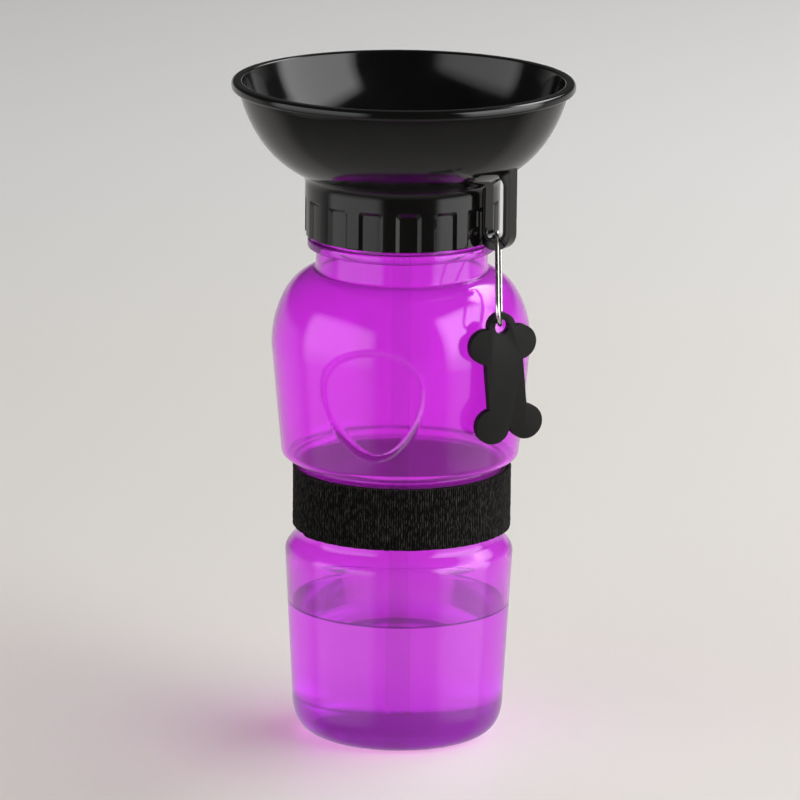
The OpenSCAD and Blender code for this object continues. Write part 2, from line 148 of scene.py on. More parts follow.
@named
class DimpleSizes(bpy.types.PropertyGroup):
    """Sizes of the thumb dimple"""

    height: length("Height of the dimple's middle", 133.4)
    half_width: length("Half width of its floor", 18)
    half_length: length("Half length of its floor", 18.6)
    taper: number("How much wider the egg is at the top", 0.22, 0, 0.5)
    lean: direction("Lean of the egg", -7)
    depth: length("Depth of the dimple", 1.8)
    border: length("Width of its sloping border", 2.3)
    facing: direction("Direction that it faces, from the lug", -73)


@named
class BowlSizes(bpy.types.PropertyGroup):
    """Sizes of the drinking bowl, its collar and its lug"""

    foot_radius: length("Radius where the bowl leaves the collar", 38)
    foot_height: length("Height of that place", 211)
    foot_slope: direction("Slope of the bowl there", 27)
    side_radius: length("Radius of the bowl under the brim", 59.6)
    side_slope: direction("Slope of the bowl there", 74)
    brim_radius: length("Outer radius of the rolled brim", 62.6)
    brim_thickness: length("Thickness of the brim", 3.4)
    wall: length("Wall of the bowl", 2.2)
    floor: length("Thickness of the bowl's floor", 3)
    plug_radius: length("Radius of the insert's seat", 11.05)
    collar_radius: length("Outer radius of the collar", 35.6)
    collar_low: length("Height of the collar's lower edge", 188)
    collar_bore: length("Radius of the room for the neck", 33)
    grips: partial(bpy.props.IntProperty, description="Number of grips", default=16, min=4)
    grip_width: length("Width of a grip's floor", 6.6)
    grip_slope: length("Width of the slope round a grip", 1.3)
    grip_height: length("Height of a grip's recess", 13)
    grip_depth: length("Depth of a grip's recess", 0.9)
    grip_corner: length("Radius of its upper corners", 1.2)
    lug_thickness: length("Thickness of the lug's plate", 5.6)
    lug_reach: length("Distance of the slot from the axis", 39.9)
    lug_half: length("Half width of the lug", 6.3)
    lug_low: length("Height of the lug's lower end", 186.5)
    slot_width: length("Width of the slot", 7.2)
    slot_length: length("Length of the slot", 23.4)
    slot_bridge: length("Height of the bridge under the slot", 4)
    edge: length("Radius of the lug's edges", 0.9)


@named
class ThreadSizes(bpy.types.PropertyGroup):
    """Sizes of the screw thread on the neck and in the collar"""

    lead: length("Rise in one turn", 6)
    height: length("How far a thread stands out", 1.1)
    thickness: length("Thickness of a thread at its root", 2.2)
    turns: number("Turns of each thread", 1.25, 0.5, 3)
    start: length("Height where the neck's thread starts", 190.2)


@named
class StrapSizes(bpy.types.PropertyGroup):
    """Sizes of the strap"""

    inner_radius: length("Radius of the wound strap's inside", 38.3)
    thickness: length("Thickness of one layer", 1.1)
    hook_thickness: length("Thickness of the hook patch", 0.6)
    end_angle: direction("Direction of the free end, from the lug", -123)
    lap: direction("Angle that the outer layer covers", 153)
    step_angle: direction("Angle in which it steps out over itself", 14)
    corner: length("Radius of the free end's corners", 6)
    rib: length("Distance between two ribs of the weave", 0.85)
    fuzz: length("Height of the loops' roughness", 0.42)


@named
class TagSizes(bpy.types.PropertyGroup):
    """Sizes of the bone tag"""

    edge: length("Radius of the tag's edges", 0.85)


@named
class Finishes(bpy.types.PropertyGroup):
    """Colours of the pieces and the studio"""

    violet: tint("Clear tinted plastic of the bottle", (0.89, 0.165, 1.0))
    violet_low: tint("The same round the water", (0.88, 0.27, 1.0))
    violet_deep: tint("The same where it is thicker", (0.80, 0.115, 1.0))
    violet_shade: tint("What its shadow lets through", (0.885, 0.82, 0.82))
    black: tint("Moulded plastic of the bowl", (0.003, 0.0028, 0.0026))
    strap: tint("Loop webbing", (0.0012, 0.0012, 0.001))
    # Painted sheen: the loops' tips get a paler colour where light would glint on the fibres
    loops: tint("Tips of the loops", (0.055, 0.05, 0.044))
    hook: tint("Hook tape", (0.012, 0.012, 0.012))
    rubber: tint("Rubber of the tag", (0.005, 0.0045, 0.004))
    steel: tint("Wire of the link", (0.86, 0.84, 0.80))
    silicone: tint("Gasket and seal", (0.82, 0.82, 0.79))
    tube: tint("Dip tube", (0.985, 0.98, 0.99))
    water: tint("Water in the bottle", (0.97, 0.93, 0.99))
    # Painted shade: a dark colour for the water's edge at the wall, which looks dark only because
    # of how light bends there
    water_edge_painted_shade: tint("Edge of the water at the wall", (0.35, 0.15, 0.45))
    water_shade: tint("What the water's shadow lets through", (0.95, 0.92, 0.97))
    tube_shade: tint("What the tube's shadow lets through", (0.97, 0.97, 0.98))
    floor_near: tint("Floor round the bottle", (0.92, 0.885, 0.84))
    # Painted light: the floor behind the bottle is given a paler colour to make up for the lamps
    # lighting it less
    floor_far_painted_light: tint("Floor behind the bottle", (0.93, 0.92, 0.905))
    room_pale: tint("Surroundings low behind the bottle", (0.6, 0.585, 0.57))
    room_dark: tint("Surroundings above and in front", (0.06, 0.06, 0.06))


# Outlines, as points in a plane


def flat(x, y):
    return Vector((x, y))


def bend(start, aim, end, steps):
    """Points of a curve from start to end that heads for aim at both ends"""
    shares = [i / steps for i in range(steps + 1)]
    return [(1 - t) ** 2 * start + 2 * t * (1 - t) * aim + t**2 * end for t in shares]


def corner(before, point, after, radius, steps=8):
    """The corner at point, rounded as far as its sides allow"""
    u = (before - point).normalized()
    v = (after - point).normalized()
    half = math.acos(max(-1.0, min(1.0, u.dot(v)))) / 2
    room = 0.49 * min((before - point).length, (after - point).length)
    reach = min(radius / math.tan(half), room)
    return bend(point + reach * u, point, point + reach * v, steps)


def rounded(outline, steps=8):
    """An open outline of (x, y, corner radius) with its inner corners rounded"""
    points = [flat(x, y) for x, y, _ in outline]
    made = [points[0]]
    for i in range(1, len(points) - 1):
        made += corner(points[i - 1], points[i], points[i + 1], outline[i][2], steps)
    return made + [points[-1]]


def meet(a, slope_a, b, slope_b):
    """Where the line from a at slope_a crosses the line from b at slope_b"""
    run = (b.x - a.x) * math.sin(slope_b) - (b.y - a.y) * math.cos(slope_b)
    reach = run / math.sin(slope_b - slope_a)
    return a + reach * flat(math.cos(slope_a), math.sin(slope_a))


def arc(centre, radius, start, end, steps):
    """Points of an arc between two angles in degrees"""
    angles = [math.radians(start + (end - start) * i / steps) for i in range(steps + 1)]
    return [centre + radius * flat(math.cos(a), math.sin(a)) for a in angles]


def spaced(points, step, fine=None, low=0.0, high=0.0):
    """The same line with no stretch longer than step, or fine between two heights"""
    made = [points[0]]
    for a, b in zip(points, points[1:]):
        close = fine and low < (a.y + b.y) / 2 < high
        count = max(1, math.ceil((b - a).length / (fine if close else step)))
        made += [a.lerp(b, (i + 1) / count) for i in range(count)]
    return made


def without_repeats(points, nearest=0.01 * MM):
    """The same line without points that lie on the one before"""
    made = [points[0]]
    for point in points[1:]:
        if (point - made[-1]).length > nearest:
            made.append(point)
    return made


def bottle_side(s, inset):
    """Side of the bottle from the foot to under the mouth, moved inwards by inset"""
    base = flat(s.base_radius - inset, inset)
    cup = flat(s.cup_radius - inset, s.cup_height + 2.5 * MM)
    side_start = base + (s.base_curve - inset * 0.6) * (cup - base).normalized()
    ledge = s.waist_radius + 0.8 * MM - inset
    bulb = flat(s.bulb_low_radius - 0.5 * MM - inset, s.bulb_low - 4.8 * MM + inset * 0.3)
    low = rounded(
        [
            (side_start.x, side_start.y, 0),
            (cup.x, cup.y, 5 * MM - inset * 0.6),
            (s.waist_radius - inset, s.waist_low - 1.5 * MM, 3.5 * MM),
            (s.waist_radius - inset, s.waist_high, 0.6 * MM),
            (ledge, s.waist_high + 0.6 * MM, 0.5 * MM),
            (ledge, s.waist_high + 2 * MM, 0.8 * MM),
            (bulb.x, bulb.y, 6 * MM - inset),
            (s.bulb_radius - inset, s.bulb_height, 0),
        ]
    )
    # Above its widest place the bulb is a quarter of an oval
    across = s.bulb_radius - inset - s.shoulder_radius
    rise = s.shoulder_rise - inset
    middle = flat(s.shoulder_radius, s.bulb_height)
    turns = [math.radians(84 * i / 26) for i in range(1, 27)]
    top = [middle + flat(across * math.cos(a), rise * math.sin(a)) for a in turns]
    neck = s.neck_radius - inset
    last = top[-1]
    root = corner(last, flat(neck, last.y + 0.35 * MM), flat(neck, last.y + 9 * MM), 2.5 * MM)
    foot = bend(flat(s.foot_radius - inset * 0.4, inset), base, side_start, 14)
    return foot + low[1:] + top + root


def bottle_base(s, inset):
    """Push-up under the bottle, from the axis to the foot ring"""
    top = s.push_up + inset
    ring = s.foot_radius - inset * 0.3
    slope = bend(
        flat(s.foot_radius * 0.55, top),
        flat(s.foot_radius * 0.8, top),
        flat(ring - 3.6 * MM, inset + 0.25 * MM),
        8,
    )
    return [flat(0, top)] + slope + [flat(ring - 2.6 * MM, inset)]


def bead_outline(s):
    """Bead under the collar, from the neck and back to it"""
    low, top, edge = s.bead_low, s.bead_low + s.bead_thickness, 0.9 * MM
    face = [(s.bead_radius, low, edge), (s.bead_radius, top, edge)]
    return rounded([(s.neck_radius, low, 0), *face, (s.neck_radius, top, 0)], 5)


def bowl_curve(s, inset):
    """Side of the bowl from the collar to the brim, moved inwards by inset"""
    foot = flat(
        s.foot_radius - inset * math.sin(s.foot_slope),
        s.foot_height + inset * math.cos(s.foot_slope),
    )
    brim = flat(
        s.side_radius - inset * math.sin(s.side_slope),
        RIM_Z - s.brim_thickness - 1.6 * MM + inset * math.cos(s.side_slope),
    )
    return bend(foot, meet(foot, s.foot_slope, brim, s.side_slope), brim, 30)


def bowl_outline(s):
    """Section of the bowl with its brim, floor and collar, as a closed line"""
    brim_low = RIM_Z - s.brim_thickness
    outer, inner = bowl_curve(s, 0), bowl_curve(s, s.wall)
    brim_in = inner[-1].x + (RIM_Z - inner[-1].y) / math.tan(s.side_slope)
    floor_z = COLLAR_CEILING_Z + s.floor
    foot, collar_top = outer[0], flat(s.collar_radius, s.foot_height - 4.2 * MM)
    turn_in = meet(foot, s.foot_slope, collar_top, math.pi / 2)
    under, low = flat(s.side_radius + 0.3 * MM, brim_low), flat(s.brim_radius, brim_low)
    top, inside = flat(s.brim_radius, RIM_Z), flat(brim_in, RIM_Z)
    floor_edge = flat(inner[0].x - 8 * MM, floor_z)
    inner_turn = meet(inner[0], s.foot_slope, floor_edge, 0)
    bevel = 0.5 * MM
    return without_repeats(
        [flat(s.plug_radius, COLLAR_CEILING_Z), flat(s.collar_bore, COLLAR_CEILING_Z)]
        + [flat(s.collar_bore, s.collar_low + bevel), flat(s.collar_bore + bevel, s.collar_low)]
        + corner(
            flat(s.collar_bore, s.collar_low),
            flat(s.collar_radius, s.collar_low),
            flat(s.collar_radius, s.foot_height),
            0.6 * MM,
            4,
        )
        + bend(collar_top, turn_in, foot, 10)
        + outer
        + corner(outer[-1], under, low, 0.8 * MM, 5)
        + corner(under, low, top, 1.65 * MM)
        + corner(low, top, inside, 1.65 * MM)
        + corner(top, inside, inner[-1], 0.9 * MM)
        + inner[::-1]
        + bend(floor_edge, inner_turn, inner[0], 8)[::-1]
        + [flat(s.plug_radius, floor_z), flat(s.plug_radius, COLLAR_CEILING_Z)]
    )


def lug_outline(s):
    """Plate of the lug, from inside the collar's and the bowl's wall outwards"""
    middle = flat(s.lug_reach, s.lug_low + s.lug_half)
    wall_middle = bowl_curve(s, s.wall / 2)
    right = middle.x + s.lug_half
    meets = [p for p in wall_middle if p.x < right]
    top = wall_middle[len(meets)]
    in_wall = s.collar_radius - 1.2 * MM
    return (
        arc(middle, s.lug_half, 180, 360, 24)
        + [flat(right, top.y)]
        + meets[::-1]
        + [flat(in_wall, s.foot_height - 4 * MM), flat(in_wall, middle.y + 1 * MM)]
    )


def slot_outline(s, grow=0.0):
    """The slot in the lug: two half circles and the straight sides between"""
    radius = s.slot_width / 2
    low = s.lug_low + s.slot_bridge + radius
    high = s.lug_low + s.slot_bridge + s.slot_length - radius
    ends = arc(flat(s.lug_reach, low), radius + grow, 180, 360, 24)
    return ends + arc(flat(s.lug_reach, high), radius + grow, 0, 180, 24)


# Modelling steps


def clear_selection():
    """Nothing is selected or active"""
    bpy.context.view_layer.objects.active = None
    bpy.ops.object.select_all(action="DESELECT")


def choose(obj):
    """Only obj is selected and active"""
    clear_selection()
    obj.select_set(True)
    bpy.context.view_layer.objects.active = obj


def edit(select="SELECT"):
    """Edit mode on the active object, with all or nothing selected"""
    bpy.ops.object.mode_set(mode="EDIT")
    bpy.ops.mesh.select_mode(type="VERT")
    bpy.ops.mesh.select_all(action=select)


def leave_edit():
    bpy.ops.object.mode_set(mode="OBJECT")


def draw_line(name, points, closed=False):
    """A chain of edges through 3-D points, drawn by extruding one vertex, all selected"""
    clear_selection()
    bpy.ops.mesh.primitive_plane_add(size=1 * MM, location=(0, 0, 0))
    obj = bpy.context.object
    obj.name = obj.data.name = name
    edit()
    bpy.ops.mesh.merge(type="CENTER")
    bpy.ops.transform.translate(value=points[0])
    for before, after in zip(points, points[1:]):
        bpy.ops.mesh.extrude_region_move(TRANSFORM_OT_translate={"value": after - before})
    bpy.ops.mesh.select_all(action="SELECT")
    if closed:
        bpy.ops.mesh.edge_face_add()
    return obj


def upright(points, y=0.0):
    """Points of an outline stood up in the XZ plane"""
    return [Vector((p.x, y, p.y)) for p in points]


def spin(steps, degrees):
    """Spins what is selected clockwise round the axis, seen from above"""
    bpy.ops.mesh.spin(steps=steps, angle=math.radians(degrees), center=(0, 0, 0), axis=(0, 0, 1))


def turn(angle, axis="Z", centre=(0, 0, 0)):
    """Turns what is selected; with no window the operator turns the other way"""
    bpy.ops.transform.rotate(value=-angle, orient_axis=axis, center_override=centre)


def close_seams():
    """Merges what meets and turns all faces outwards"""
    bpy.ops.mesh.select_all(action="SELECT")
    bpy.ops.mesh.remove_doubles(threshold=SAME_PLACE)
    bpy.ops.mesh.normals_make_consistent(inside=False)


def face_outwards(obj):
    """Turns all faces of obj outwards"""
    choose(obj)
    edit()
    bpy.ops.mesh.normals_make_consistent(inside=False)
    leave_edit()


def join_flat_faces(obj, nearest, degrees):
    """Merges what meets, and joins faces that lie in one plane"""
    choose(obj)
    edit()
    bpy.ops.mesh.remove_doubles(threshold=nearest)
    bpy.ops.mesh.dissolve_limited(angle_limit=math.radians(degrees))
    leave_edit()


def apply_modifier(obj, kind, name, **settings):
    """Adds a modifier with its settings and applies it"""
    choose(obj)
    modifier = obj.modifiers.new(name, kind)
    for key, value in settings.items():
        setattr(modifier, key, value)
    bpy.ops.object.modifier_apply(modifier=modifier.name)


def round_edges(obj, width):
    """Rounds all edges at which faces meet at more than 60 degrees"""
    settings = {"segments": 4, "limit_method": "ANGLE", "angle_limit": math.radians(60)}
    apply_modifier(obj, "BEVEL", "Round edges", width=width, **settings)


def cut_with(obj, cutter, operation="DIFFERENCE"):
    """Cuts obj with cutter, or joins them into one body, and removes the cutter"""
    apply_modifier(obj, "BOOLEAN", "Cut", object=cutter, operation=operation, solver="EXACT")
    mesh = cutter.data
    bpy.data.objects.remove(cutter)
    bpy.data.meshes.remove(mesh)


def plate(name, outline, thickness, edge=0.0):
    """A plate of that outline in the XZ plane, half its thickness to each side"""
    obj = draw_line(name, upright(outline, -thickness / 2), closed=True)
    bpy.ops.mesh.extrude_region_move(TRANSFORM_OT_translate={"value": (0, thickness, 0)})
    close_seams()
    leave_edit()
    if edge > 0:
        round_edges(obj, edge)
    return obj


def copy_of_node(node, name):
    """A new piece that starts from a CAD node's mesh, with its loose triangles merged"""
    source = frame["nodes"][node]
    obj = bpy.data.objects.new(name, source.data.copy())
    obj.data.name = name
    bpy.context.scene.collection.objects.link(obj)
    obj.data.materials.clear()
    choose(obj)
    bpy.ops.mesh.customdata_custom_splitnormals_clear()
    join_flat_faces(obj, 0.001 * MM, 0.5)
    return obj


def shade(obj, degrees=35):
    """Smooth shading, sharp where faces meet at more than that angle"""
    choose(obj)
    bpy.ops.object.shade_smooth_by_angle(angle=math.radians(degrees))


def seat(obj, body, slot, material, *nodes):
    """Gives the piece its material and its body, and hides the nodes it stands for; the slot is
    not used
    """
    obj.data.materials.clear()
    obj.data.materials.append(material)
    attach(obj, body)
    if nodes:
        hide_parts(*nodes)


def dress(node, material):
    """Gives a CAD node a finish"""
    obj = frame["nodes"][node]
    obj.data.materials.clear()
    obj.data.materials.append(material)


# Material parts


def new_group(name, inputs, output):
    """An empty node group with those float inputs and that float output"""
    group = bpy.data.node_groups.new(name, "ShaderNodeTree")
    for label, value in inputs.items():
        socket = group.interface.new_socket(label, in_out="INPUT", socket_type="NodeSocketFloat")
        socket.default_value = value
    group.interface.new_socket(output, in_out="OUTPUT", socket_type="NodeSocketFloat")
    given = group.nodes.new("NodeGroupInput").outputs
    return group, given, group.nodes.new("NodeGroupOutput")


def feed(node, **values):
    """Gives inputs of a node their values, or the sockets that feed them"""
    for key, value in values.items():
        feed_socket(node.inputs[key.replace("_", " ")], value)


def feed_socket(socket, value):
    if isinstance(value, bpy.types.NodeSocket):
        socket.id_data.links.new(value, socket)
    else:
        socket.default_value = value


def put(tree, kind, settings=None, **values):
    """A node with its settings, and its input values or the sockets that feed them"""
    node = tree.nodes.new(kind)
    for key, value in (settings or {}).items():
        setattr(node, key, value)
    feed(node, **values)
    return node


def math_node(operation, a, b=0.0):
    """The result of a Math node"""
    node = put(a.id_data, "ShaderNodeMath", {"operation": operation})
    for socket, value in zip(node.inputs, (a, b)):
        feed_socket(socket, value)
    return node.outputs[0]


def noise(place, **values):
    """The value of a noise texture"""
    return put(place.id_data, "ShaderNodeTexNoise", Vector=place, **values).outputs["Fac"]


def stretched(place, scale):
    """A place drawn out by a scale for each axis"""
    node = put(place.id_data, "ShaderNodeMapping", Vector=place, Scale=scale)
    return node.outputs["Vector"]


def spread(value, low, high, to_low=0.0, to_high=1.0):
    """A value moved from one range to another, with its ends held"""
    ends = {"From_Min": low, "From_Max": high, "To_Min": to_low, "To_Max": to_high}
    return put(value.id_data, "ShaderNodeMapRange", Value=value, **ends).outputs["Result"]


def mix_colour(mask, first, second):
    """Colour between first and second"""
    node = put(mask.id_data, "ShaderNodeMix", {"data_type": "RGBA"})
    feed_socket(node.inputs["Factor"], mask)
    sockets = [s for s in node.inputs if s.type == "RGBA"]
    for socket, colour in zip(sockets, (first, second)):
        made = isinstance(colour, bpy.types.NodeSocket)
        feed_socket(socket, colour if made else (*colour, 1.0))
    return next(s for s in node.outputs if s.type == "RGBA")


def object_place(tree):
    return tree.nodes.new("ShaderNodeTexCoord").outputs["Object"]


def axes_of(place):
    """The X, Y and Z of a place"""
    return put(place.id_data, "ShaderNodeSeparateXYZ", Vector=place).outputs


def handling_marks():
    """Group: soft smudges and fine hairlines that hands and bags leave"""
    name = "Handling marks"
    if name in bpy.data.node_groups:
        return bpy.data.node_groups[name]
    group, given, out = new_group(name, {"Smudge size": 60.0, "Hairlines": 0.3}, "Mask")
    place = object_place(group)
    smudge = noise(place, Scale=given["Smudge size"], Detail=3.0, Roughness=0.6)
    line = noise(stretched(place, (900.0, 700.0, 60.0)), Scale=1.0)
    thin = spread(line, 0.63, 0.72)
    lines = math_node("MULTIPLY", thin, given["Hairlines"])
    total = math_node("ADD", spread(smudge, 0.42, 0.7), lines)
    feed(out, Mask=math_node("MINIMUM", total, 1.0))
    return group


def moulded_skin():
    """Group: the very fine grain and the slow waves of a moulded surface"""
    name = "Moulded skin"
    if name in bpy.data.node_groups:
        return bpy.data.node_groups[name]
    inputs = {"Grain size": 1500.0, "Grain": 0.3, "Wave size": 30.0, "Wave": 1.0}
    group, given, out = new_group(name, inputs, "Height")
    place = object_place(group)
    grain = noise(place, Scale=given["Grain size"], Detail=2.0)
    wave = noise(place, Scale=given["Wave size"], Detail=1.0)
    fine = math_node("MULTIPLY", grain, given["Grain"])
    slow = math_node("MULTIPLY", wave, given["Wave"])
    feed(out, Height=math_node("ADD", fine, slow))
    return group


def new_material(name):
    """A material with its Principled shader"""
    material = bpy.data.materials.new(name)
    material.use_nodes = True
    return material, material.node_tree.nodes["Principled BSDF"]


def wear(shader, size, hairlines, colours=None, rough=None):
    """Handling marks in the shader's colour, in its roughness, or in both"""
    marks = put(shader.id_data, "ShaderNodeGroup", {"node_tree": handling_marks()})
    feed(marks, Smudge_size=size, Hairlines=hairlines)
    mask = marks.outputs["Mask"]
    if colours:
        feed(shader, Base_Color=mix_colour(mask, *colours))
    if rough:
        feed(shader, Roughness=spread(mask, 0.0, 1.0, *rough))


def bump(shader, height, strength, distance):
    """Feeds a height to the shader's normal"""
    node = put(shader.id_data, "ShaderNodeBump", Strength=strength, Distance=distance)
    feed(node, Height=height)
    feed(shader, Normal=node.outputs["Normal"])


def skin(shader, grain, wave, strength, distance):
    """Moulded skin in the shader's normal; grain and wave are each a size and a share"""
    node = put(shader.id_data, "ShaderNodeGroup", {"node_tree": moulded_skin()})
    feed(node, Grain_size=grain[0], Grain=grain[1], Wave_size=wave[0], Wave=wave[1])
    bump(shader, node.outputs["Height"], strength, distance)


def tint_shadow(shader, colour):
    """Light that passes the piece colours its shadow"""
    tree = shader.id_data
    ray = tree.nodes.new("ShaderNodeLightPath").outputs["Is Shadow Ray"]
    clear = put(tree, "ShaderNodeBsdfTransparent", Color=(*colour, 1.0))
    mixed = put(tree, "ShaderNodeMixShader", Fac=ray)
    feed_socket(mixed.inputs[1], shader.outputs["BSDF"])
    feed_socket(mixed.inputs[2], clear.outputs["BSDF"])
    feed(tree.nodes["Material Output"], Surface=mixed.outputs["Shader"])


# Materials


def violet_plastic(c):
    """Clear tinted squeeze plastic with slow waves in its surface"""
    material, shader = new_material("Violet squeeze plastic")
    height = axes_of(object_place(shader.id_data))["Z"]
    # Paler in the lower body, deeper in the thick base
    low = spread(height, 60 * MM, 76 * MM, 1.0, 0.0)
    thick = spread(height, 4 * MM, 20 * MM, 1.0, 0.0)
    side = mix_colour(low, c.violet, c.violet_low)
    feed(shader, Base_Color=mix_colour(thick, side, c.violet_deep))
    feed(shader, IOR=1.46, Transmission_Weight=0.93)
    wear(shader, size=45.0, hairlines=0.25, rough=(0.05, 0.11))
    skin(shader, grain=(900.0, 0.0), wave=(28.0, 1.0), strength=0.25, distance=0.4 * MM)
    tint_shadow(shader, c.violet_shade)
    return material


def water(c, level):
    """Still water up to that height"""
    material, shader = new_material("Water")
    height = axes_of(object_place(shader.id_data))["Z"]
    paler = [min(1.0, v * 1.03) for v in c.water]
    clear = mix_colour(spread(height, 0.0, level), c.water, paler)
    # Painted shade: the edge that is drawn up at the wall is coloured darker, in place of the
    # dark look that its bent light gives it
    edge = spread(height, level + 0.15 * MM, level + 0.4 * MM)
    feed(shader, Base_Color=mix_colour(edge, clear, c.water_edge_painted_shade))
    feed(shader, Roughness=0.0, IOR=1.33, Transmission_Weight=1.0)
    skin(shader, grain=(60.0, 0.1), wave=(18.0, 1.0), strength=0.05, distance=0.3 * MM)
    tint_shadow(shader, c.water_shade)
    return material


def black_plastic(name, colour, rough):
    """Black moulded plastic, glossy, with faint smudges"""
    material, shader = new_material(name)
    worn = [v * 1.5 + 0.0008 for v in colour]
    wear(shader, size=38.0, hairlines=0.5, colours=(colour, worn), rough=rough)
    feed(shader, IOR=1.42)
    skin(shader, grain=(2600.0, 0.05), wave=(24.0, 0.8), strength=0.15, distance=0.3 * MM)
    return material


def loop_webbing(c, rib):
    """Loop webbing: upright ribs, fuzzy loops, and tips painted paler as painted sheen"""
    material, shader = new_material("Loop webbing")
    place = object_place(shader.id_data)
    axes = axes_of(place)
    angle = math_node("ARCTAN2", axes["Y"], axes["X"])
    mean_radius = 40.5 * MM
    around = math_node("MULTIPLY", angle, mean_radius)
    fuzz = noise(place, Scale=900.0, Detail=3.0, Roughness=0.7)
    sway = spread(fuzz, 0.3, 0.7, -0.2 * rib, 0.2 * rib)
    turned = math_node("MULTIPLY", math_node("ADD", around, sway), TAU / rib)
    ribs = spread(math_node("SINE", turned), -0.6, 1.0)
    loops = noise(stretched(place, (1.0, 1.0, 0.3)), Scale=1700.0, Detail=2.0)
    tips = math_node("MULTIPLY", spread(loops, 0.44, 0.7), ribs)
    # Painted sheen: a paler colour on the loop tips along the ribs
    feed(shader, Base_Color=mix_colour(tips, c.strap, c.loops))
    feed(shader, Roughness=spread(tips, 0.0, 1.0, 0.95, 0.7))
    feed(shader, Sheen_Weight=0.02, Sheen_Roughness=0.4, Specular_IOR_Level=0.12)
    relief = math_node("ADD", ribs, math_node("MULTIPLY", loops, 0.8))
    bump(shader, relief, 0.9, 0.22 * MM)
    return material


def matt_rubber(c):
    """Matt moulded rubber with a dusty bloom"""
    material, shader = new_material("Matt rubber")
    dusty = [v * 1.4 + 0.002 for v in c.rubber]
    wear(shader, size=110.0, hairlines=0.4, colours=(c.rubber, dusty), rough=(0.52, 0.72))
    feed(shader, Specular_IOR_Level=0.25)
    skin(shader, grain=(2200.0, 1.0), wave=(90.0, 0.4), strength=0.35, distance=0.12 * MM)
    return material


def bright_steel(c):
    """Drawn steel wire"""
    material, shader = new_material("Bright steel wire")
    dull = [v * 0.8 for v in c.steel]
    wear(shader, size=300.0, hairlines=1.0, colours=(c.steel, dull), rough=(0.16, 0.34))
    feed(shader, Metallic=1.0)
    skin(shader, grain=(4000.0, 0.4), wave=(200.0, 0.2), strength=0.15, distance=0.05 * MM)
    return material


def soft_silicone(c):
    """White silicone"""
    material, shader = new_material("Soft silicone")
    shaded = [v * 0.86 for v in c.silicone]
    wear(shader, size=150.0, hairlines=0.1, colours=(c.silicone, shaded))
    feed(shader, Roughness=0.45, Subsurface_Weight=0.15, Subsurface_Scale=2 * MM)
    skin(shader, grain=(2500.0, 0.6), wave=(80.0, 0.3), strength=0.2, distance=0.1 * MM)
    return material


def clear_tube(c):
    """Thin clear tube that hardly shows in the tinted bottle"""
    material, shader = new_material("Clear tube")
    milky = [v * 0.96 for v in c.tube]
    wear(shader, size=120.0, hairlines=0.6, colours=(c.tube, milky), rough=(0.03, 0.12))
    feed(shader, IOR=1.03, Transmission_Weight=1.0)
    tint_shadow(shader, c.tube_shade)
    return material


def hook_tape(c):
    """Hook tape: rows of tiny stiff hooks"""
    material, shader = new_material("Hook tape")
    place = object_place(shader.id_data)
    cells = put(place.id_data, "ShaderNodeTexVoronoi", Vector=place, Scale=900.0)
    tips = spread(cells.outputs["Distance"], 0.1, 0.5, 1.0, 0.0)
    pale = [v * 3 for v in c.hook]
    feed(shader, Base_Color=mix_colour(tips, c.hook, pale), Roughness=0.6)
    bump(shader, tips, 0.8, 0.3 * MM)
    return material


def pale_floor(c):
    """Plain floor, painted a little paler away from the bottle as painted light, where the lamps
    light it less
    """
    material, shader = new_material("Pale floor")
    place = object_place(shader.id_data)
    reach = put(place.id_data, "ShaderNodeVectorMath", {"operation": "LENGTH"}, Vector=place)
    # Painted light: paler away from the bottle, where the lamps light the floor less
    far = spread(reach.outputs["Value"], 0.5, 1.1)
    feed(shader, Base_Color=mix_colour(far, c.floor_near, c.floor_far_painted_light))
    feed(shader, Roughness=0.4, Specular_IOR_Level=0.2)
    bump(shader, noise(place, Scale=14.0, Detail=3.0), 0.03, 1 * MM)
    return material


# Pieces


class MakeBottle(bpy.types.Operator):
    """Squeeze bottle: its section drawn as one line, spun, and pressed in at the dimple"""

    bl_idname = "dogbottle.bottle"
    bl_label = "Squeeze bottle"

    def execute(self, context):
        s, d, c = context.scene.bottle_sizes, context.scene.dimple_sizes, context.scene.finishes
        outer = bottle_base(s, 0) + bottle_side(s, 0) + bead_outline(s)
        outer += corner(outer[-1], flat(s.neck_radius, MOUTH_Z), flat(0, MOUTH_Z), 0.4 * MM, 3)
        inner = bottle_base(s, s.wall) + bottle_side(s, s.wall)
        neck_inner = s.neck_radius - s.wall
        inner += corner(inner[-1], flat(neck_inner, MOUTH_Z), flat(60 * MM, MOUTH_Z), 0.3 * MM, 3)
        section = without_repeats(outer + inner[::-1])
        row, dimple_row, reach = 3.2 * MM, 0.8 * MM, 1.3 * d.half_length
        section = spaced(section, row, dimple_row, d.height - reach, d.height + reach)
        bottle = draw_line("squeeze_bottle", upright(section))
        # From +X clockwise, with finer steps over the dimple at -Y
        dimple_side = 60
        spin(30, 90 - dimple_side / 2)
        spin(80, dimple_side)
        spin(98, 270 - dimple_side / 2)
        close_seams()
        leave_edit()
        press_dimple(bottle, s, d)
        choose(bottle)
        edit()
        turn(d.facing + math.pi / 2)
        leave_edit()
        shade(bottle, 50)
        seat(bottle, "bottle", "bottle", violet_plastic(c), "bottle")
        return {"FINISHED"}


def press_dimple(bottle, s, d):
    """Presses the egg-shaped dimple into both faces of the wall, on the -Y side"""
    name = "Thumb dimple"
    group = bottle.vertex_groups.new(name=name)
    for vertex in bottle.data.vertices:
        across = (math.atan2(vertex.co.y, vertex.co.x) + math.pi / 2) * s.bulb_radius
        share = dimple_share(d, across, vertex.co.z - d.height)
        if share > 0:
            group.add([vertex.index], share, "REPLACE")
    settings = {"direction": "Y", "mid_level": 0.0, "vertex_group": name}
    apply_modifier(bottle, "DISPLACE", name, strength=d.depth, **settings)


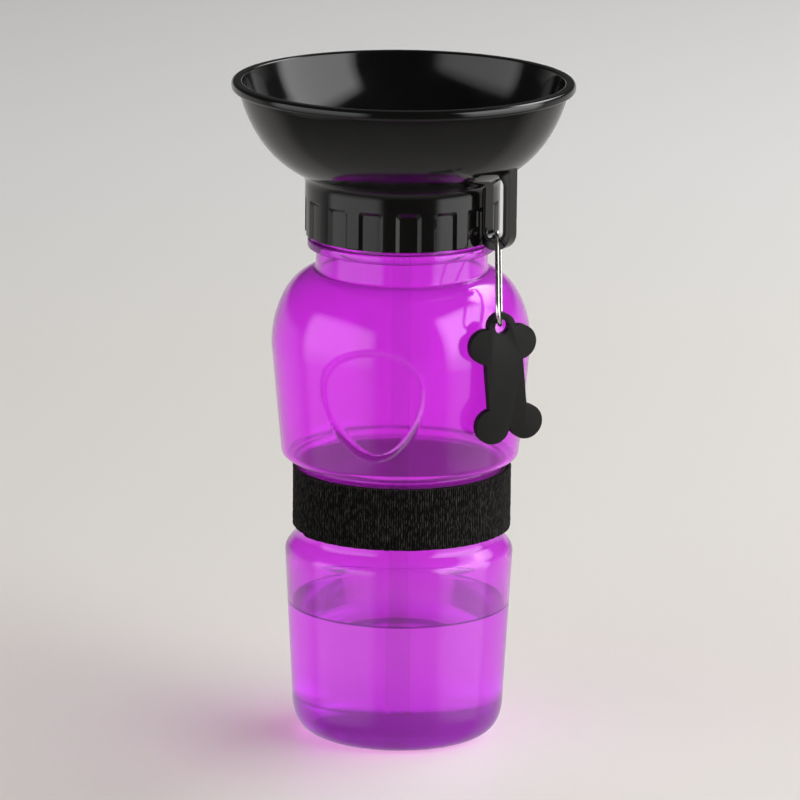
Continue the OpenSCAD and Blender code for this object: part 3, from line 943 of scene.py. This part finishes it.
def dimple_share(d, across, up):
    """How deep the dimple is at a place on the wall, from 0 outside to 1 on its floor"""
    x = across * math.cos(d.lean) - up * math.sin(d.lean)
    y = across * math.sin(d.lean) + up * math.cos(d.lean)
    reach = 1.0
    for _ in range(4):
        widened = d.half_width * (1 + d.taper * max(-1.0, min(1.0, y / (d.half_length * reach))))
        reach = max(0.05, math.hypot(x / widened, y / d.half_length))
    beyond = (reach - 1) * (d.half_width + d.half_length) / 2
    t = max(0.0, min(1.0, 1 - beyond / d.border))
    return 0.5 * t + 0.5 * t * t * (3 - 2 * t)


class MakeThreads(bpy.types.Operator):
    """Right-hand screw threads on the neck and in the collar"""

    bl_idname = "dogbottle.threads"
    bl_label = "Screw threads"

    def execute(self, context):
        scene = context.scene
        s, t, c = scene.bottle_sizes, scene.thread_sizes, scene.finishes
        neck = helix("neck_thread", t, s.neck_radius - THREAD_ROOT, 1, t.start)
        seat(neck, "bottle", "bottle", bpy.data.materials["Violet squeeze plastic"])
        bore = scene.bowl_sizes.collar_bore + THREAD_ROOT
        collar = helix("collar_thread", t, bore, -1, t.start + t.lead / 2)
        material = black_plastic("Black thread plastic", c.black, (0.25, 0.4))
        seat(collar, "bowl", "bowl", material)
        return {"FINISHED"}


def helix(name, t, radius, outwards, start):
    """A thread of trapezoid section that winds upwards, with its ends run out to a point"""
    root, tip = t.thickness / 2, t.thickness / 4
    edge = radius + outwards * (t.height + THREAD_ROOT)
    section = [(radius, -root), (edge, -tip), (edge, tip), (radius, root)]
    points = upright([flat(x, start + z) for x, z in section])
    obj = draw_line(name, points, closed=True)
    bpy.ops.mesh.delete(type="ONLY_FACE")
    leave_edit()
    steps = int(72 * t.turns)
    settings = {"steps": steps, "render_steps": steps, "use_merge_vertices": False}
    wind = {"angle": t.turns * TAU, "screw_offset": t.turns * t.lead}
    apply_modifier(obj, "SCREW", "Thread", **wind, **settings)
    choose(obj)
    for half in (-1, 1):
        edit("DESELECT")
        leave_edit()
        lowest = sorted(obj.data.vertices, key=lambda v: half * thread_order(v.co, t, start))
        for vertex in lowest[:4]:
            vertex.select = True
        bpy.ops.object.mode_set(mode="EDIT")
        bpy.ops.mesh.merge(type="CENTER")
        leave_edit()
    face_outwards(obj)
    shade(obj, 30)
    return obj


def thread_order(co, t, start):
    """How far along the thread a point lies, in turns"""
    turned = math.atan2(co.y, co.x) / TAU % 1
    whole = round((co.z - start) / t.lead - turned)
    return whole + turned


class MakeWater(bpy.types.Operator):
    """Water that fills the bottle's lower body, with its edge drawn up at the wall"""

    bl_idname = "dogbottle.water"
    bl_label = "Water"

    def execute(self, context):
        s, c = context.scene.bottle_sizes, context.scene.finishes
        sink = s.wall - 0.15 * MM
        line = spaced(bottle_base(s, sink) + bottle_side(s, sink), 2 * MM)
        level = s.water_level
        wet = [p for p in line if p.y < level]
        last, after = wet[-1], line[len(wet)]
        edge = last.lerp(after, (level + 1 * MM - last.y) / (after.y - last.y))
        surface = bend(edge, flat(edge.x - 0.4 * MM, level), flat(edge.x - 3 * MM, level), 5)
        obj = draw_line("water", upright(without_repeats(wet + surface) + [flat(0, level)]))
        spin(128, 360)
        close_seams()
        leave_edit()
        shade(obj, 50)
        seat(obj, "bottle", None, water(c, level))
        return {"FINISHED"}


class MakeBowl(bpy.types.Operator):
    """Drinking bowl with its grip collar and slotted lug, one moulding"""

    bl_idname = "dogbottle.bowl"
    bl_label = "Drinking bowl"

    def execute(self, context):
        s, c = context.scene.bowl_sizes, context.scene.finishes
        bowl = draw_line("drinking_bowl", upright(spaced(bowl_outline(s), 3 * MM)))
        steps_a_grip = 13
        spin(steps_a_grip * s.grips, 360)
        close_seams()
        leave_edit()
        cut_with(bowl, grip_cutters(s))
        cut_with(bowl, plate("Lug", lug_outline(s), s.lug_thickness, s.edge), "UNION")
        cut_with(bowl, plate("Slot", slot_outline(s), s.lug_thickness * 2))
        join_flat_faces(bowl, 0.004 * MM, 0.2)
        shade(bowl, 26)
        apply_modifier(bowl, "WEIGHTED_NORMAL", "Even shading", keep_sharp=True)
        material = black_plastic("Black bowl plastic", c.black, (0.09, 0.15))
        seat(bowl, "bowl", "bowl", material, "bowl")
        return {"FINISHED"}


def grip_cutters(s):
    """Solids that take the finger grips out of the collar's side"""
    floor, out = s.collar_radius - s.grip_depth, s.collar_radius + 0.5 * MM
    low, high = s.collar_low - 1 * MM, s.collar_low + s.grip_height
    width = math.degrees(s.grip_width / s.collar_radius)
    pitch = 360 / s.grips
    section = [flat(floor, low), flat(out, low), flat(out, high), flat(floor, high)]
    obj = draw_line("Grips", upright(section), closed=True)
    turn(math.radians(width / 2 + pitch / 2))
    spin(8, width)
    close_seams()
    leave_edit()
    middle = math.radians(pitch / 2)
    slope_sides(obj, s, floor, out, high, middle)
    # The two upper corners, as edges that run outwards
    edit("DESELECT")
    bpy.ops.mesh.select_mode(type="EDGE")
    shape = bmesh.from_edit_mesh(obj.data)
    for e in shape.edges:
        inner, outer = sorted((v.co for v in e.verts), key=lambda co: co.xy.length)
        level = min(inner.z, outer.z) > high - 0.01 * MM
        runs_out = outer.xy.length - inner.xy.length > 1 * MM
        off = abs(math.atan2(inner.y, inner.x) - middle)
        e.select = level and runs_out and off > math.radians(width * 0.49)
    bmesh.update_edit_mesh(obj.data)
    bpy.ops.mesh.bevel(offset=s.grip_corner, segments=5, affect="EDGES")
    for _ in range(s.grips - 1):
        bpy.ops.mesh.select_linked()
        bpy.ops.mesh.duplicate()
        turn(math.radians(pitch))
    close_seams()
    leave_edit()
    return obj


def slope_sides(obj, s, floor, out, high, middle):
    """Widens the cutter towards its outside, so that a grip's walls slope"""
    flare = s.grip_slope * (out - floor) / s.grip_depth
    for v in obj.data.vertices:
        if v.co.xy.length < (floor + out) / 2:
            continue
        off = math.atan2(v.co.y, v.co.x) - middle
        wider = middle + off * (1 + flare / (s.grip_width / 2))
        radius = v.co.xy.length
        v.co.x, v.co.y = radius * math.cos(wider), radius * math.sin(wider)
        if v.co.z > high - 0.01 * MM:
            v.co.z += flare


class MakeSlotBorder(bpy.types.Operator):
    """Raised border round the lug's slot, on both faces"""

    bl_idname = "dogbottle.slot_border"
    bl_label = "Slot border"

    def execute(self, context):
        s, c = context.scene.bowl_sizes, context.scene.finishes
        away, proud, radius = 0.75 * MM, 0.05 * MM, 0.42 * MM
        rings = []
        for side in (-1, 1):
            line = upright(slot_outline(s, away), side * (s.lug_thickness / 2 + proud))
            ring = draw_line("slot_border", line + [line[0]])
            bpy.ops.mesh.remove_doubles(threshold=SAME_PLACE)
            leave_edit()
            bpy.ops.object.convert(target="CURVE")
            ring.data.bevel_depth = radius
            ring.data.bevel_resolution = 3
            bpy.ops.object.convert(target="MESH")
            rings.append(ring)
        choose(rings[0])
        rings[1].select_set(True)
        bpy.ops.object.join()
        border = rings[0]
        face_outwards(border)
        shade(border, 60)
        material = black_plastic("Black border plastic", c.black, (0.08, 0.14))
        seat(border, "bowl", "bowl", material)
        return {"FINISHED"}


class MakeStrap(bpy.types.Operator):
    """Strap of loop webbing, wound once round the waist and on over itself"""

    bl_idname = "dogbottle.strap"
    bl_label = "Strap"

    def execute(self, context):
        s, c = context.scene.strap_sizes, context.scene.finishes
        radius = s.inner_radius + s.thickness / 2
        step_out = (s.thickness + s.hook_thickness) / radius + 1
        rows, column_degrees = 28, 1.1
        heights = [STRAP_Z + STRAP_WIDTH * i / rows for i in range(rows + 1)]
        obj = draw_line("strap", [Vector((radius, 0, z)) for z in heights])
        turn(s.end_angle + s.lap)
        turns = 360 + math.degrees(s.lap)
        spin(round(turns / column_degrees), turns)
        leave_edit()
        columns_of = strip_columns(obj, rows + 1)
        first_out = round((360 - math.degrees(s.step_angle)) / column_degrees)
        last_in = round(360 / column_degrees)
        for k, column in enumerate(columns_of):
            share = max(0.0, min(1.0, (k - first_out) / (last_in - first_out)))
            grow = 1 + (step_out - 1) * share * share * (3 - 2 * share)
            for v in column:
                obj.data.vertices[v].co.xy *= grow
        round_free_end(obj, columns_of, s)
        face_outwards(obj)
        bare = s.thickness - 0.1 * MM
        apply_modifier(obj, "SOLIDIFY", "Webbing", thickness=bare, offset=0.0)
        fuzz = bpy.data.textures.new("Loops", "CLOUDS")
        fuzz.noise_scale = 0.9 * MM
        fuzz.noise_depth = 1
        apply_modifier(obj, "DISPLACE", "Loop fuzz", texture=fuzz, strength=s.fuzz, mid_level=0.6)
        shade(obj, 60)
        seat(obj, "strap", "strap", loop_webbing(c, s.rib), "strap_band")
        return {"FINISHED"}


def strip_columns(obj, rows):
    """The strip's vertices, column by column in the order in which they were spun"""
    count = len(obj.data.vertices) // rows
    return [range(k * rows, (k + 1) * rows) for k in range(count)]


def round_free_end(obj, columns, s):
    """Draws the last columns in at both edges, so that the free end has round corners"""
    middle = STRAP_Z + STRAP_WIDTH / 2
    half = STRAP_WIDTH / 2
    end = obj.data.vertices[columns[-1][0]].co.xy
    # The corners end well within the last 20 columns
    for column in columns[-20:]:
        away = (obj.data.vertices[column[0]].co.xy - end).length
        if away >= s.corner:
            continue
        drop = s.corner - math.sqrt(s.corner**2 - (s.corner - away) ** 2)
        for v in column:
            co = obj.data.vertices[v].co
            co.z = middle + (co.z - middle) * (half - drop) / half


class MakeTag(bpy.types.Operator):
    """Bone-shaped rubber tag with rounded edges"""

    bl_idname = "dogbottle.tag"
    bl_label = "Bone tag"

    def execute(self, context):
        s, c = context.scene.tag_sizes, context.scene.finishes
        tag = copy_of_node("bone_tag", "tag")
        round_edges(tag, s.edge)
        shade(tag, 50)
        seat(tag, "tag", "tag", matt_rubber(c), "bone_tag")
        return {"FINISHED"}


class FinishSmallPieces(bpy.types.Operator):
    """Finishes of the gasket, insert, seal, tube, hook patch and wire link"""

    bl_idname = "dogbottle.small_pieces"
    bl_label = "Small pieces"

    def execute(self, context):
        c = context.scene.finishes
        silicone = soft_silicone(c)
        dress("neck_gasket", silicone)
        dress("insert_seal", silicone)
        dress("fountain_insert", black_plastic("Black insert plastic", c.black, (0.2, 0.34)))
        dress("dip_tube", clear_tube(c))
        dress("hook_patch", hook_tape(c))
        dress("wire_link", bright_steel(c))
        return {"FINISHED"}


# Studio


def facing(azimuth, down, roll=0.0):
    """How a camera or lamp is turned that looks down at the axis from that azimuth"""
    turned = Matrix.Rotation(azimuth, 3, "Z") @ Matrix.Rotation(math.pi / 2 - down, 3, "X")
    return turned @ Matrix.Rotation(roll, 3, "Z")


# Degrees from the camera to its right, degrees up, size in metres, watts
SOFT_BOXES = [
    ("Left softbox", -60, 0, (4.2, 3.4), 97),
    ("Right softbox", 72, 10, (3.6, 4.0), 203),
    ("Back softbox", 128, 38, (2.0, 1.4), 62),
]
SOFT_BOX_DISTANCE = 2.7
# Height on the axis that they face
LIT_HEIGHT = 0.13


def soft_box(studio, name, azimuth, elevation, size, watts):
    """An area lamp that faces the bottle"""
    turned = facing(studio.camera_azimuth + math.radians(azimuth), math.radians(elevation))
    clear_selection()
    place = turned.col[2] * SOFT_BOX_DISTANCE + Vector((0, 0, LIT_HEIGHT))
    bpy.ops.object.light_add(type="AREA", location=place)
    lamp = bpy.context.object
    lamp.name = name
    lamp.data.shape = "RECTANGLE"
    lamp.data.size, lamp.data.size_y = size
    lamp.data.energy = watts
    fade_edges(lamp.data)
    lamp.rotation_euler = turned.to_euler()
    lamp.visible_camera = False


def fade_edges(lamp):
    """A cloth-fronted lamp: dimmer towards its edges and in its lower part"""
    lamp.use_nodes = True
    tree = lamp.node_tree
    axes = axes_of(tree.nodes.new("ShaderNodeNewGeometry").outputs["Parametric"])
    glow = spread(axes["Y"], 0.2, 0.5, 0.4, 1.0)
    for side in ("X", "Y"):
        off = math_node("ABSOLUTE", math_node("SUBTRACT", axes[side], 0.5))
        glow = math_node("MULTIPLY", glow, spread(off, 0.36, 0.5, 1.0, 0.2))
    feed(tree.nodes["Emission"], Strength=glow)


@named
class StudioSizes(bpy.types.PropertyGroup):
    """Camera and floor of the studio"""

    camera_azimuth: direction("Direction of the camera", 30)
    camera_down: direction("How far the camera looks down", 13.6)
    camera_roll: direction("Roll of the camera", 0.6)
    camera_distance: length("From the camera to its aim", 2205)
    camera_aim: length("Height that the camera looks at", 125.26)
    camera_shift: length("How far the aim lies to the left", 0.15)
    lens: number("Focal length in millimetres on a 36 mm sensor", 270, 10, 600)
    floor_radius: length("Radius of the floor", 6000)


class MakeStage(bpy.types.Operator):
    """Floor, lamps, world and camera"""

    bl_idname = "dogbottle.stage"
    bl_label = "Studio"

    def execute(self, context):
        scene = context.scene
        studio, c = scene.studio, scene.finishes
        clear_selection()
        bpy.ops.mesh.primitive_circle_add(
            vertices=96, radius=studio.floor_radius, fill_type="NGON", location=(0, 0, 0)
        )
        floor = bpy.context.object
        floor.name = "floor"
        floor.data.materials.append(pale_floor(c))
        # The photo's table ends near the bottle, so the lamps show below its level too
        floor.visible_glossy = False
        for lamp in SOFT_BOXES:
            soft_box(studio, *lamp)
        pale_world(scene, studio.camera_azimuth, c)
        turned = facing(studio.camera_azimuth, studio.camera_down, studio.camera_roll)
        side = facing(studio.camera_azimuth, 0).col[0]
        aim = Vector((0, 0, studio.camera_aim)) - side * studio.camera_shift
        clear_selection()
        bpy.ops.object.camera_add(location=aim + turned.col[2] * studio.camera_distance)
        camera = bpy.context.object
        camera.rotation_euler = turned.to_euler()
        camera.data.sensor_width = 36
        camera.data.lens = studio.lens
        camera.data.clip_start, camera.data.clip_end = 0.05, 50
        scene.camera = camera
        scene.view_settings.view_transform = "Standard"
        return {"FINISHED"}


def pale_world(scene, camera_azimuth, c):
    """Surroundings as in a studio: pale table behind and below, dark above and in front"""
    world = bpy.data.worlds.new("Pale studio")
    scene.world = world
    world.use_nodes = True
    tree = world.node_tree
    axes = axes_of(tree.nodes.new("ShaderNodeTexCoord").outputs["Generated"])
    across = math_node("MULTIPLY", axes["X"], math.sin(camera_azimuth))
    along = math_node("MULTIPLY", axes["Y"], math.cos(camera_azimuth))
    behind = spread(math_node("SUBTRACT", along, across), 0.0, 0.4)
    low = spread(axes["Z"], 0.02, 0.14, 1.0, 0.0)
    below = spread(axes["Z"], -0.95, -0.4, 0.9, 0.0)
    pale = math_node("MAXIMUM", math_node("MULTIPLY", behind, low), below)
    colour = mix_colour(pale, c.room_dark, c.room_pale)
    feed(tree.nodes["Background"], Color=colour)


class DogBottlePanel(bpy.types.Panel):
    """Steps that build the bottle"""

    bl_idname = "VIEW3D_PT_dog_bottle"
    bl_label = "Dog bottle"
    bl_space_type = "VIEW_3D"
    bl_region_type = "UI"
    bl_category = "Dog bottle"

    def draw(self, context):
        column = self.layout.column()
        for step in STEPS:
            column.operator(step.bl_idname)
        for attribute in SETTINGS:
            box = self.layout.box()
            group = getattr(context.scene, attribute)
            for key in group.bl_rna.properties.keys():
                if key not in ("rna_type", "name"):
                    box.prop(group, key)


STEPS = [
    MakeBottle,
    MakeThreads,
    MakeWater,
    MakeBowl,
    MakeSlotBorder,
    MakeStrap,
    MakeTag,
    FinishSmallPieces,
    MakeStage,
]
SETTINGS = {
    "bottle_sizes": BottleSizes,
    "dimple_sizes": DimpleSizes,
    "bowl_sizes": BowlSizes,
    "thread_sizes": ThreadSizes,
    "strap_sizes": StrapSizes,
    "tag_sizes": TagSizes,
    "finishes": Finishes,
    "studio": StudioSizes,
}


def register():
    for group in SETTINGS.values():
        bpy.utils.register_class(group)
    for attribute, group in SETTINGS.items():
        setattr(bpy.types.Scene, attribute, bpy.props.PointerProperty(type=group))
    for step in STEPS:
        bpy.utils.register_class(step)
    bpy.utils.register_class(DogBottlePanel)


def unregister():
    bpy.utils.unregister_class(DogBottlePanel)
    for step in reversed(STEPS):
        bpy.utils.unregister_class(step)
    for attribute in SETTINGS:
        delattr(bpy.types.Scene, attribute)
    for group in reversed(list(SETTINGS.values())):
        bpy.utils.unregister_class(group)


def main():
    register()
    for step in STEPS:
        category, name = step.bl_idname.split(".")
        getattr(getattr(bpy.ops, category), name)()


if __name__ == "__main__":
    main()
